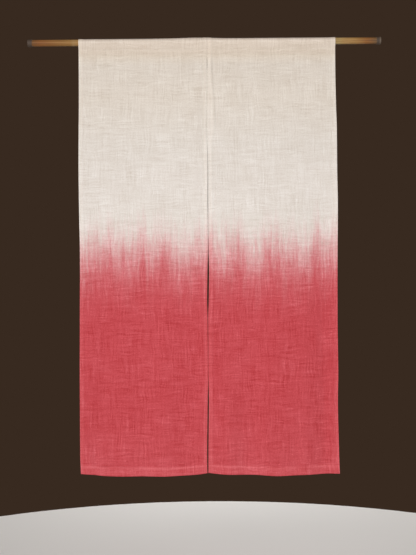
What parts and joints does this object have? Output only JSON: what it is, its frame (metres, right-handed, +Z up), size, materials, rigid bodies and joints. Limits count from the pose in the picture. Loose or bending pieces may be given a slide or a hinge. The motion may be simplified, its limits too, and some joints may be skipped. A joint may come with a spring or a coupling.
{
  "type": "noren curtain on a rod",
  "caption": "Doorway curtain of slubby cloth, dip-dyed from undyed beige to soft red, joined at the top and slit below, hanging by its sleeves from a plain wooden rod.",
  "frame": {"origin": "middle of the left end cap's flat outer face, on the rod's axis", "axes": "+X along the rod towards its right end, +Z up, the cloth's front faces -Y"},
  "size_m": [1.205, 0.0252, 1.4986],
  "materials": {
    "cloth": "plain woven slubby linen, undyed beige above, streaky soft red below",
    "rod_wood": "brown, satin",
    "cap_rubber": "matt brown-grey"
  },
  "bodies": {
    "root": {"panel_left": "cloth", "panel_right": "cloth", "rod": "rod_wood", "end_cap_left": "cap_rubber", "end_cap_right": "cap_rubber"}
  },
  "joints": []
}
